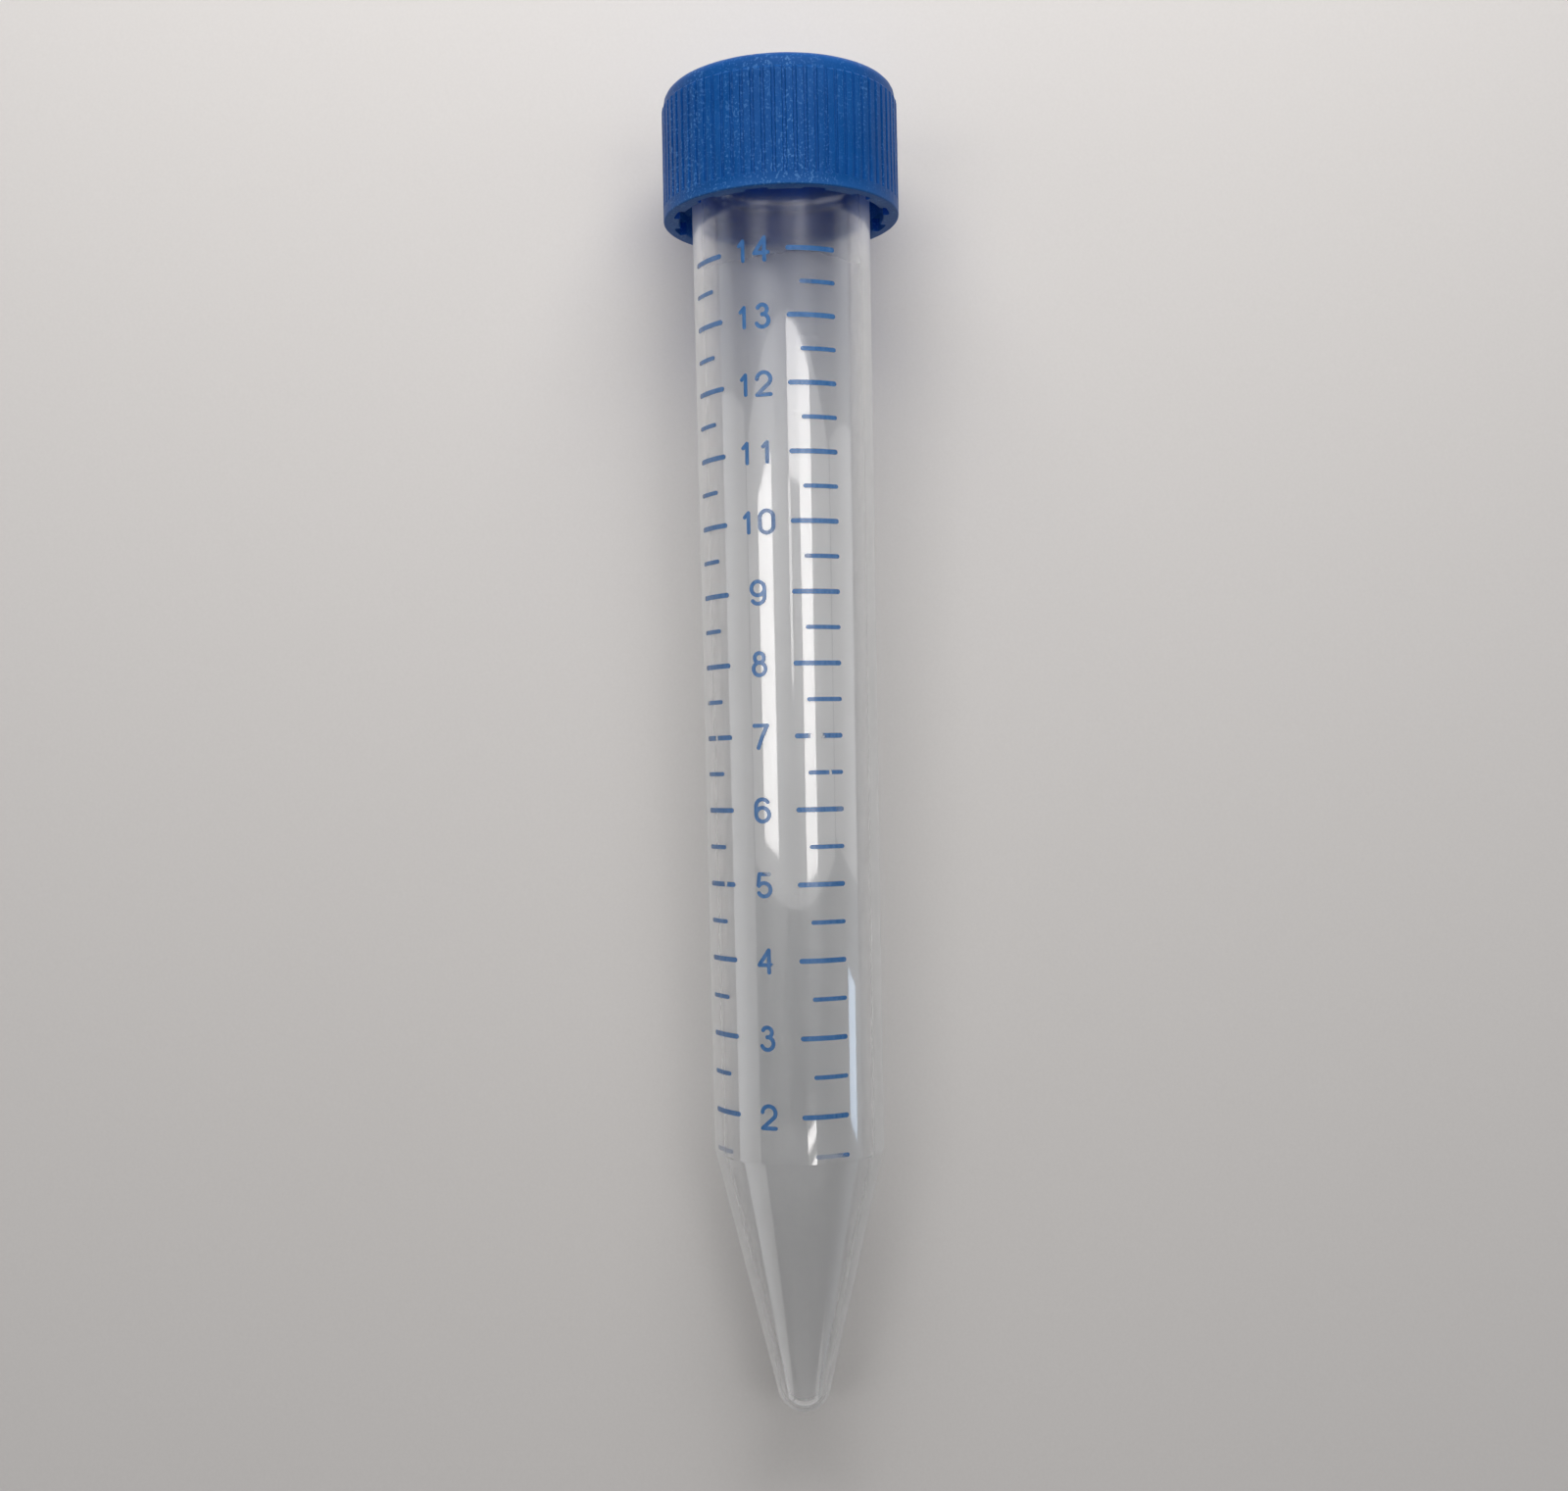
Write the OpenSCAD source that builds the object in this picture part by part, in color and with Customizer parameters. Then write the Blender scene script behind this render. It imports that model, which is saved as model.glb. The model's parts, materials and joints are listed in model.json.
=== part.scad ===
// 15 ml conical tube with a screw cap, lying as it comes to rest on a flat surface.
// Millimetres. The tube is drawn upright, with its tip at the bottom, and laid down at the end.

/* [Tube] */
// Length from the tip to the mouth
tube_l = 119.7; // [100:0.1:130]
// Height of the edge between the cone and the body
shoulder_h = 24; // [16:0.1:34]
// Outside diameter of the body at that edge
body_od_low = 15.5; // [13:0.05:16.2]
// Outside diameter of the body at the mouth
body_od_high = 16.48; // [15.6:0.02:18]
// Wall thickness at the edge between the cone and the body
wall_low = 1.02; // [0.6:0.02:1.6]
// Wall thickness at the mouth
wall_high = 0.74; // [0.6:0.02:1.2]
// Outside radius of the round tip
tip_r = 2.45; // [2:0.05:3.5]
// Wall thickness at the tip
tip_wall = 1.1; // [0.6:0.05:1.5]
// Chamfer on the mouth's inside edge
lip_chamfer = 0.15; // [0.05:0.05:0.3]

/* [Thread] */
// Height of the thread's crest above the neck
thread_h = 0.8; // [0.3:0.05:1]
// Rise of the thread in one turn
thread_pitch = 2.9; // [2:0.1:4]
// Turns of the thread
thread_turns = 1.8; // [1:0.1:2.2]
// Width of the thread at its root
thread_root_w = 1.5; // [1.2:0.05:1.8]
// Width of the thread at its crest
thread_crest_w = 0.6; // [0.3:0.05:0.9]
// Distance from the mouth to the thread's upper end
thread_drop = 1.9; // [1.2:0.1:3]
// Angle over which each end of the thread fades out
thread_fade = 30; // [10:5:60]

/* [Cap] */
// Height of the cap
cap_h = 11.8; // [10.5:0.1:16]
// Thickness of the cap's top
cap_top_t = 1.3; // [0.8:0.1:2.5]
// Wall thickness of the cap out to the ribs' crests
cap_wall = 1.42; // [1.2:0.02:2.5]
// Radius of the cap's rounded top edge
cap_edge_r = 1; // [0.3:0.05:1.2]
// Gap between the thread's crest and the inside of the cap
thread_clear = 0.36; // [0.2:0.02:0.5]
// Length of the seal ring inside the tube's mouth
seal_l = 1.8; // [1:0.1:3]
// Wall thickness of the seal ring
seal_wall = 0.8; // [0.5:0.1:1.2]
// Gap between the seal ring and the tube's mouth
seal_clear = 0.1; // [0.05:0.01:0.2]

/* [Cap grip] */
// Number of grooves between the ribs
groove_count = 72; // [24:1:80]
// Width of a groove
groove_w = 0.3; // [0.15:0.05:0.45]
// Height of the ribs above the cap's plain top
rib_h = 0.19; // [0.1:0.01:0.3]
// Height of the plain band at the open end
band_h = 1.15; // [0.5:0.05:3]
// Distance from the cap's top down to the ribs' upper ends
rib_drop = 1.63; // [1.3:0.01:4]
// Number of pockets inside the open rim
pocket_count = 12; // [6:1:16]
// Angle that a pocket spans
pocket_angle = 12.5; // [6:0.5:18]
// Depth of a pocket into the cap's wall
pocket_t = 0.6; // [0.3:0.02:0.8]
// Height of a pocket from the open rim
pocket_h = 1.2; // [0.6:0.1:2.5]

/* [Scale print] */
// Thickness of the ink
ink_t = 0.05; // [0.03:0.01:0.1]
// First volume with a mark, in millilitres
scale_first = 1.5; // [1.5:0.5:4]
// Last volume with a mark, in millilitres
scale_last = 14; // [8:0.5:14]
// Shift of the whole print along the tube
print_shift = -0.8; // [-1.5:0.1:1.5]
// Width of the marks at each millilitre
long_mark_w = 0.44; // [0.3:0.02:0.6]
// Width of the marks at each half millilitre
short_mark_w = 0.38; // [0.3:0.02:0.6]
// Angle of the numbers' middle from the top of the lying tube
numbers_at = -22; // [-60:0.2:60]
// Angle from the numbers' middle to the near end of a long mark
long_mark_near = 21.8; // [18:0.2:26]
// Angle from the numbers' middle to the near end of a short mark
short_mark_near = 30; // [26:0.2:36]
// Angle from the numbers' middle to the far ends of the right column
right_far = 54; // [44:0.2:60]
// Angle from the numbers' middle to the far ends of the left column
left_far = 50; // [44:0.2:60]
// Height of a digit
digit_h = 2.3; // [1.5:0.05:3]
// Width of a digit
digit_w = 1.56; // [1:0.02:1.8]
// Width of a digit's stroke
stroke_w = 0.35; // [0.2:0.01:0.45]
// Distance between the middles of two digits
digit_pitch = 1.88; // [1.8:0.02:2.2]

/* [Hidden] */
$fn = 96;

ML = 1000;            // cubic millimetres in a millilitre
OVER = 1;             // how far a cutter runs past the part
THREAD_STEP = 10;     // degrees between the thread's rings
THREAD_SINK = 0.25;   // how deep the thread's root lies in the neck
ARC_STEPS = 6;        // sides of the wedge that cuts an arc out of a ring
SMALL_LOOP = 0.44;    // radius of the upper loop of a 3 or an 8, against half the digit's height
LARGE_LOOP = 0.57;    // radius of the lower loop
FIVE_LOOP = 0.6;      // radius of the loop of a 5
ONE_STEM = 0.19;      // how far the stem of a 1 stands to the right of its middle
ONE_FLAG = 0.6;       // width of the flag of a 1, against half the digit's width
ONE_TOP = 0.88;       // height of a 1, against the height of the other digits

CAP_COLOUR = [0.10, 0.28, 0.55];
TUBE_COLOUR = [0.86, 0.87, 0.88, 0.5];
INK_COLOUR = [0.14, 0.33, 0.62];

// Body: its outside and its bore both widen evenly towards the mouth
body_l = tube_l - shoulder_h;
shoulder_r = body_od_low / 2;
shoulder_bore_r = shoulder_r - wall_low;
mouth_r = body_od_high / 2;
mouth_bore_r = mouth_r - wall_high;
bore_draft = (mouth_bore_r - shoulder_bore_r) / body_l;
function body_r(h) = shoulder_r + (mouth_r - shoulder_r) * (h - shoulder_h) / body_l;

// Cone: a straight flank from the edge of the body, tangent to the round tip
tip_bore_r = tip_r - tip_wall;
function flank_angle(r, round_r) =
    acos(round_r / norm([r, shoulder_h - tip_r])) - atan2(shoulder_h - tip_r, r);
cone_angle = flank_angle(shoulder_r, tip_r);
bore_angle = flank_angle(shoulder_bore_r, tip_bore_r);

// Cap: sized from the tube's mouth and thread outwards
overall_l = tube_l + cap_top_t;
rim_h = overall_l - cap_h;
thread_r = mouth_r + thread_h;
cap_bore_r = thread_r + thread_clear;
cap_r = cap_bore_r + cap_wall;
cap_plain_r = cap_r - rib_h;
seal_r = mouth_bore_r - seal_clear;

// Rest: the lying tube touches the surface with the body's lower edge and with the cap's rim
rest_tilt = atan((cap_r - shoulder_r) / (rim_h - shoulder_h));
rest_height = shoulder_r * cos(rest_tilt) - shoulder_h * sin(rest_tilt);
tip_end = tip_r * cos(rest_tilt) - tip_r;
cap_end = (overall_l - cap_edge_r) * cos(rest_tilt)
    + (cap_plain_r - cap_edge_r) * sin(rest_tilt) + cap_edge_r;

// Volume of the cone up to the body, and the level of any volume above it
bore_round_h = tip_bore_r * (1 - sin(bore_angle));
bore_flank_r = tip_bore_r * cos(bore_angle);
bore_flank_h = shoulder_h - tip_r + tip_bore_r * sin(bore_angle);
cone_volume = PI * pow(bore_round_h, 2) * (3 * tip_bore_r - bore_round_h) / 3
    + PI * bore_flank_h / 3
    * (pow(bore_flank_r, 2) + bore_flank_r * shoulder_bore_r + pow(shoulder_bore_r, 2));
function level(ml) = shoulder_h + print_shift
    + (pow(pow(shoulder_bore_r, 3) + 3 * bore_draft * (ml * ML - cone_volume) / PI, 1 / 3)
    - shoulder_bore_r) / bore_draft;
function printable(ml) =
    level(ml) > shoulder_h + long_mark_w / 2 && level(ml) < rim_h - digit_h / 2;

// Lays an upright piece down: its top then points along +Y, a little upwards
module lay() {
    translate([0, -(tip_end + cap_end) / 2, rest_height])
        rotate([rest_tilt - 90, 0, 0])
            children();
}

// ---- Tube

// Half section of a round-tipped cone and body. Both ends of the body are given as radii
module vessel_half(round_r, flank, low_r, high_r, top) {
    intersection() {
        union() {
            translate([0, tip_r]) circle(round_r);
            polygon([
                [0, tip_r],
                [round_r * cos(flank), tip_r - round_r * sin(flank)],
                [low_r, shoulder_h],
                [high_r, top],
                [0, top]
            ]);
        }
        square([body_od_high, top]);
    }
}

// One ring of the thread's section at a turned angle. Its crest sinks into the neck at both ends
function thread_ring(turned) =
    let (
        whole = thread_turns * 360,
        share = min(1, turned / thread_fade, (whole - turned) / thread_fade),
        middle = tube_l - thread_drop - thread_root_w / 2
            - thread_pitch * (whole - turned) / 360,
        root = body_r(middle) - THREAD_SINK,
        crest = mouth_r + thread_h * share - THREAD_SINK * (1 - share) / 2
    )
    [
        for (corner = [
            [root, -thread_root_w / 2],
            [crest, -thread_crest_w / 2],
            [crest, thread_crest_w / 2],
            [root, thread_root_w / 2]
        ])
        [corner[0] * cos(turned), corner[0] * sin(turned), middle + corner[1]]
    ];

module thread() {
    rings = floor(thread_turns * 360 / THREAD_STEP);
    step = thread_turns * 360 / rings;
    points = [for (i = [0:rings]) each thread_ring(i * step)];
    sides = [
        for (i = [0:rings - 1], k = [0:3])
            let (a = 4 * i + k, b = 4 * i + (k + 1) % 4)
            each [[a, b, b + 4], [a, b + 4, a + 4]]
    ];
    last = 4 * rings;
    ends = [[0, 2, 1], [0, 3, 2], [last, last + 1, last + 2], [last, last + 2, last + 3]];
    polyhedron(points = points, faces = concat(sides, ends));
}

module tube() {
    color(TUBE_COLOUR)
        lay()
            union() {
                rotate_extrude()
                    difference() {
                        vessel_half(tip_r, cone_angle, shoulder_r, mouth_r, tube_l);
                        vessel_half(tip_bore_r, bore_angle, shoulder_bore_r,
                            mouth_bore_r + bore_draft * OVER, tube_l + OVER);
                        translate([mouth_bore_r, tube_l])
                            rotate(45)
                                square(lip_chamfer * sqrt(2), center = true);
                    }
                thread();
            }
}

// ---- Cap

module cap_half() {
    top_r = cap_plain_r - cap_edge_r;
    rib_top = overall_l - rib_drop;
    difference() {
        union() {
            square([top_r, overall_l]);
            square([cap_plain_r, overall_l - cap_edge_r]);
            translate([top_r, overall_l - cap_edge_r]) circle(cap_edge_r);
            polygon([
                [0, 0],
                [cap_r, 0],
                [cap_r, rib_top],
                [cap_plain_r, rib_top + rib_h],
                [0, rib_top]
            ]);
        }
        square([cap_r + OVER, rim_h]);
        square([cap_bore_r, tube_l]);
    }
    translate([seal_r - seal_wall, tube_l - seal_l]) square([seal_wall, seal_l + cap_top_t / 2]);
}

module cap_grooves() {
    for (i = [0:groove_count - 1])
        rotate(360 * (i + 0.5) / groove_count)
            translate([cap_plain_r, -groove_w / 2, rim_h + band_h])
                cube([2 * rib_h, groove_w, cap_h - band_h - cap_edge_r]);
}

module cap_pockets() {
    for (i = [0:pocket_count - 1])
        rotate(360 * (i + 0.5) / pocket_count - pocket_angle / 2)
            rotate_extrude(angle = pocket_angle)
                translate([cap_bore_r - OVER, rim_h - OVER])
                    square([pocket_t + OVER, pocket_h + OVER]);
}

module cap() {
    color(CAP_COLOUR)
        lay()
            difference() {
                rotate_extrude() cap_half();
                cap_grooves();
                cap_pockets();
            }
}

// ---- Scale print

// Keeps what lies in the ink's thickness on the body's outside
module inked() {
    intersection() {
        rotate_extrude()
            polygon([
                [shoulder_r, shoulder_h],
                [shoulder_r + ink_t, shoulder_h],
                [body_r(rim_h) + ink_t, rim_h],
                [body_r(rim_h), rim_h]
            ]);
        children();
    }
}

// Stands a flat pattern on the body: x runs round the tube, y along it, from the given angle
module facing(angle) {
    rotate([0, 0, angle])
        rotate([90, 0, 0])
            translate([0, 0, shoulder_r / 2])
                linear_extrude(mouth_r)
                    children();
}

module dot(p, w) {
    translate(p) circle(d = w, $fn = 32);
}

// Straight strokes from point to point, with round ends and corners
module stroke(points, w) {
    for (p = points) dot(p, w);
    for (i = [1:len(points) - 1])
        let (p = points[i - 1], q = points[i])
        translate((p + q) / 2)
            rotate(atan2(q[1] - p[1], q[0] - p[0]))
                square([norm(q - p), w], center = true);
}

// A curved stroke with round ends, anticlockwise from one angle to the other
module bow(middle, r, from, to, w) {
    step = (to - from) / ARC_STEPS;
    reach = 2 * (r + w);
    translate(middle) {
        intersection() {
            difference() {
                circle(r + w / 2);
                circle(r - w / 2);
            }
            polygon([
                [0, 0],
                for (i = [0:ARC_STEPS]) reach * [cos(from + i * step), sin(from + i * step)]
            ]);
        }
        dot(r * [cos(from), sin(from)], w);
        dot(r * [cos(to), sin(to)], w);
    }
}

module ring(middle, r, w) {
    translate(middle)
        difference() {
            circle(r + w / 2);
            circle(r - w / 2);
        }
}

module six() {
    a = (digit_w - stroke_w) / 2;
    b = (digit_h - stroke_w) / 2;
    ring([0, a - b], a, stroke_w);
    stroke([[-a, a - b], [-a, b - a]], stroke_w);
    bow([0, b - a], a, 35, 180, stroke_w);
}

// A digit around its own middle. a and b are half the width and height of its strokes' centre lines
module digit(n) {
    w = stroke_w;
    a = (digit_w - w) / 2;
    b = (digit_h - w) / 2;
    small = SMALL_LOOP * b;
    large = LARGE_LOOP * b;
    if (n == 0) {
        bow([0, b - a], a, 0, 180, w);
        bow([0, a - b], a, 180, 360, w);
        stroke([[-a, a - b], [-a, b - a]], w);
        stroke([[a, a - b], [a, b - a]], w);
    }
    if (n == 1)
        stroke([
            [ONE_STEM, -ONE_TOP * b],
            [ONE_STEM, ONE_TOP * b],
            [ONE_STEM - ONE_FLAG * a, ONE_TOP * b - ONE_FLAG * a]
        ], w);
    if (n == 2) {
        bow([0, b - a], a, -40, 175, w);
        stroke([[a * cos(40), b - a - a * sin(40)], [-a, -b], [a, -b]], w);
    }
    if (n == 3) {
        bow([0, b - small], small, -90, 155, w);
        bow([0, large - b], large, -155, 90, w);
    }
    if (n == 4) stroke([[a / 2, -b], [a / 2, b], [-a, -b / 3], [a, -b / 3]], w);
    if (n == 5) {
        stroke([[0.8 * a, b], [-0.7 * a, b], [-0.9 * a, 0]], w);
        bow([0, FIVE_LOOP * b - b], FIVE_LOOP * b, -150, 145, w);
    }
    if (n == 6) six();
    if (n == 7) stroke([[-a, b], [a, b], [a / 5, 0], [-0.4 * a, -b]], w);
    if (n == 8) {
        ring([0, b - small], small, w);
        ring([0, large - b], large, w);
    }
    if (n == 9) rotate(180) six();
}

// One column of marks. side is 1 to the right of the numbers and -1 to their left
module mark_column(side, far) {
    middle_at = (long_mark_near + far) / 2;
    inked()
        facing(numbers_at + side * middle_at)
            for (ml = [scale_first:0.5:scale_last])
                if (printable(ml)) {
                    whole = ml == floor(ml);
                    w = whole ? long_mark_w : short_mark_w;
                    r = body_r(level(ml));
                    near_x = r * sin((whole ? long_mark_near : short_mark_near) - middle_at);
                    far_x = r * sin(far - middle_at);
                    ends = [for (x = [near_x + w / 2, far_x - w / 2]) [side * x, level(ml)]];
                    stroke(ends, w);
                }
}

module scale_marks() {
    color(INK_COLOUR)
        lay() {
            mark_column(1, right_far);
            mark_column(-1, left_far);
        }
}

module scale_numbers() {
    color(INK_COLOUR)
        lay()
            inked()
                facing(numbers_at)
                    for (ml = [ceil(scale_first):floor(scale_last)])
                        if (printable(ml))
                            translate([0, level(ml)])
                                if (ml < 10) digit(ml);
                                else {
                                    translate([-digit_pitch / 2, 0]) digit(floor(ml / 10));
                                    translate([digit_pitch / 2, 0]) digit(ml % 10);
                                }
}

tube();
cap();
scale_marks();
scale_numbers();
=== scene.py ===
# %% [markdown]
# # A 15 ml conical tube with its screw cap
#
# The real object is three things: a thin clear tube moulded in polypropylene, a blue screw cap
# moulded in the same plastic with a matte skin, and a scale printed on the tube in blue ink.
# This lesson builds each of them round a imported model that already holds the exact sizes, so
# every piece goes where that model says and rides on its bodies: the tube with its scale is one
# body, the cap is the other. Blender works in metres here, and `MM` turns millimetres into them.

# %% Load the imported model
import json
import math

import bmesh
import bpy
from mathutils import Matrix, Vector


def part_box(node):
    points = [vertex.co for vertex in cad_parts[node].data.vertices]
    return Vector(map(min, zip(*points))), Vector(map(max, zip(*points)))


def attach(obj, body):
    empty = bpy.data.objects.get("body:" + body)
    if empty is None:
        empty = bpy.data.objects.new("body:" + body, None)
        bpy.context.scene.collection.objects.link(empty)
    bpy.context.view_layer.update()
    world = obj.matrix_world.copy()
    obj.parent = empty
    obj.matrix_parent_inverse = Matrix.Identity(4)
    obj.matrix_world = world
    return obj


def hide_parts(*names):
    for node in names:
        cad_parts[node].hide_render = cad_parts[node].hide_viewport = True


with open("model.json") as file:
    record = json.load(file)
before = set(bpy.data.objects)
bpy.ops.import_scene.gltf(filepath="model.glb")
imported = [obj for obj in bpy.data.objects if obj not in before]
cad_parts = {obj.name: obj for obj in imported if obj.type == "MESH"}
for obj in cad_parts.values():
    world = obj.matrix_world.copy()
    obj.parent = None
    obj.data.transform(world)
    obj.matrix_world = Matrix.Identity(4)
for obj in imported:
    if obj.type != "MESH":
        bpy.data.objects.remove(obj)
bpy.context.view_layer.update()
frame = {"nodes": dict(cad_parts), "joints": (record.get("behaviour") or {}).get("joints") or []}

MM = 0.001

# %% [markdown]
# ## Where the tube lies
#
# The tube rests on a flat surface, which it touches with the lower edge of its body and with
# the cap's rim, so it is tipped up a little towards the cap. It is easiest to turn every piece
# upright round the Z axis, tip down, and to lay it down once at the end. The tilt comes from
# the direction in which the cap is pulled off, and the place from the tube's own box.

# %% Sizes in millimetres, as in the part's source, with the cap's top a hair lower
TUBE_LENGTH = 119.7
SHOULDER_HEIGHT = 24.0
SHOULDER_RADIUS = 7.75
MOUTH_RADIUS = 8.24
SHOULDER_BORE = 6.73
MOUTH_BORE = 7.5
TIP_RADIUS = 2.45
TIP_BORE = 1.35
THREAD_CREST = 9.04
THREAD_PITCH = 2.9
CAP_TOP = 120.99
CAP_RIM = 109.2
CAP_RIB_RADIUS = 10.82
CAP_PLAIN_RADIUS = 10.63
CAP_BORE = 9.4
SEAL_OUTSIDE = 7.4
SEAL_INSIDE = 6.6

# %% How an upright piece is laid down
pull = Vector(frame["joints"][0]["axis"])
tilt = math.asin(pull.z)
tip_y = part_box("tube")[0].y + TIP_RADIUS * (1 - math.cos(tilt)) * MM
rest_z = (SHOULDER_RADIUS * math.cos(tilt) - SHOULDER_HEIGHT * math.sin(tilt)) * MM
LAID = Matrix.Translation((0, tip_y, rest_z)) @ Matrix.Rotation(tilt - math.pi / 2, 4, "X")
print("tilt", round(math.degrees(tilt), 3), "tip y", round(tip_y / MM, 3), "z", round(rest_z / MM, 3))


def lay_down(piece):
    """Lay an upright piece down and write its place into its mesh"""
    bpy.ops.object.mode_set(mode="OBJECT")
    bpy.ops.object.select_all(action="DESELECT")
    piece.select_set(True)
    bpy.context.view_layer.objects.active = piece
    piece.matrix_world = LAID
    bpy.ops.object.transform_apply(location=True, rotation=True, scale=True)


# %% [markdown]
# ## Drawing a section
#
# A turned or moulded round part is its section, swept round the axis. The section could be a
# curve object, but a mesh line keeps every corner exactly where it is put. The line starts as
# one vertex and is extruded from point to point. A corner may have a radius: moulds have no
# truly sharp edges, and it is the small radii that catch the light.

# %% A line with rounded corners
def rounded(points, steps=4):
    """Points (radius, height, corner radius) in millimetres, with each corner turned into an arc"""
    line = []
    for i, (x, z, r) in enumerate(points):
        corner = Vector((x, z))
        if r == 0:
            line.append(corner)
            continue
        before = (Vector(points[i - 1][:2]) - corner).normalized()
        after = (Vector(points[(i + 1) % len(points)][:2]) - corner).normalized()
        half = before.angle(after) / 2
        middle = corner + (before + after).normalized() * r / math.sin(half)
        start = corner + before * r / math.tan(half) - middle
        turn = start.angle_signed(corner + after * r / math.tan(half) - middle)
        line += [middle + Matrix.Rotation(-turn * k / steps, 2) @ start for k in range(steps + 1)]
    return line


def arc(middle_z, radius, start, end, steps):
    """Points of an arc round (0, middle_z) between two angles in degrees, as (radius, height, 0)"""
    angles = [math.radians(start + (end - start) * k / steps) for k in range(steps + 1)]
    return [(radius * math.cos(a), middle_z + radius * math.sin(a), 0) for a in angles]


def draw_section(name, line, closed=False):
    """Draw a line in the XZ plane, point by point, and leave it selected in edit mode"""
    if bpy.context.object and bpy.context.object.mode == "EDIT":
        bpy.ops.object.mode_set(mode="OBJECT")
    bpy.ops.object.select_all(action="DESELECT")
    bpy.ops.mesh.primitive_plane_add(size=MM, location=(0, 0, 0))
    piece = bpy.context.object
    piece.name = name
    bpy.ops.object.mode_set(mode="EDIT")
    bpy.ops.mesh.select_mode(type="VERT")
    bpy.ops.mesh.merge(type="CENTER")
    bpy.ops.transform.translate(value=(line[0].x * MM, 0, line[0].y * MM))
    for a, b in zip(line, line[1:]):
        step = (b - a) * MM
        bpy.ops.mesh.extrude_region_move(TRANSFORM_OT_translate={"value": (step.x, 0, step.y)})
    bpy.ops.mesh.select_all(action="SELECT")
    if closed:
        bpy.ops.mesh.edge_face_add()
        bpy.ops.mesh.select_all(action="SELECT")
    return piece


def spin(steps, degrees, copies=False):
    """Sweep or copy the selection round the Z axis, anticlockwise seen from above"""
    bpy.ops.mesh.spin(steps=steps, angle=math.radians(degrees), dupli=copies,
                      center=(0, 0, 0), axis=(0, 0, -1))


def turn(degrees):
    """Turn the selection round the Z axis, anticlockwise seen from above"""
    bpy.ops.transform.rotate(value=-math.radians(degrees), orient_axis="Z",
                             center_override=(0, 0, 0))


def weld(distance=0.0005):
    """Merge what meets and turn every face outwards, in edit mode"""
    bpy.ops.mesh.select_all(action="SELECT")
    bpy.ops.mesh.remove_doubles(threshold=distance * MM)
    bpy.ops.mesh.dissolve_degenerate(threshold=distance * MM)
    bpy.ops.mesh.select_all(action="SELECT")
    bpy.ops.mesh.normals_make_consistent(inside=False)


def pick(piece, kind, wanted):
    """Select only the vertices, edges or faces that wanted() says yes to. Gives how many"""
    bpy.ops.mesh.select_all(action="DESELECT")
    bpy.ops.mesh.select_mode(type={"verts": "VERT", "edges": "EDGE", "faces": "FACE"}[kind])
    mesh = bmesh.from_edit_mesh(piece.data)
    found = [e for e in getattr(mesh, kind) if wanted(e)]
    for e in found:
        e.select_set(True)
    mesh.select_flush_mode()
    bmesh.update_edit_mesh(piece.data)
    return len(found)


def finish_mesh(piece, angle=35):
    """Smooth shading up to an angle. Prints the size of the mesh and whether it is closed"""
    bpy.ops.object.mode_set(mode="OBJECT")
    bpy.ops.object.select_all(action="DESELECT")
    piece.select_set(True)
    bpy.context.view_layer.objects.active = piece
    bpy.ops.object.shade_smooth_by_angle(angle=math.radians(angle))
    mesh = bmesh.new()
    mesh.from_mesh(piece.data)
    open_edges = sum(1 for e in mesh.edges if not e.is_manifold)
    triangles = sum(len(f.verts) - 2 for f in mesh.faces)
    print(piece.name, "triangles", triangles, "open edges", open_edges,
          "volume", round(mesh.calc_volume(signed=True) / MM ** 3, 1), "mm3")
    mesh.free()


def apply_boolean(piece, other, operation):
    """Join or cut with another closed piece, which is used up"""
    bpy.ops.object.mode_set(mode="OBJECT")
    bpy.ops.object.select_all(action="DESELECT")
    bpy.context.view_layer.objects.active = piece
    piece.select_set(True)
    cut = piece.modifiers.new(operation.title(), "BOOLEAN")
    cut.operation = operation
    cut.solver = "EXACT"
    cut.object = other
    bpy.ops.object.modifier_apply(modifier=cut.name)
    bpy.data.objects.remove(other)


# %% [markdown]
# ## The tube
#
# The tube is one thin wall: a round tip, a straight cone, a body that widens by half a
# millimetre up to the mouth, and a flat lip. It could be a solid with a Solidify wall, but the
# wall is thicker at the tip than at the mouth, so both surfaces are drawn in one section and
# spun together. The outside lies a hair inside its true size, so that the printed ink, which
# is a real layer five hundredths of a millimetre thick, never fights with it.

# %% The tube's section
SKIN = 0.012
TUBE_COLUMNS = 240
TIP_STEPS = 14
TIP_BORE_STEPS = 10
SHOULDER_ROUND = 0.35
BORE_SHOULDER_ROUND = 0.6
LOW_KNEE = (SHOULDER_RADIUS + 0.2, SHOULDER_HEIGHT + 39)
HIGH_KNEE = (MOUTH_RADIUS - 0.075, TUBE_LENGTH - 14.7)
LIP_DROP = 0.03
LIP_ROUND = 0.2
LIP_CHAMFER = 0.15


def flank_angle(radius, round_radius):
    """Angle at which the cone's straight side leaves the round tip, in degrees"""
    height = SHOULDER_HEIGHT - TIP_RADIUS
    reach = math.hypot(radius, height)
    return math.degrees(math.acos(round_radius / reach) - math.atan2(height, radius))


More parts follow.
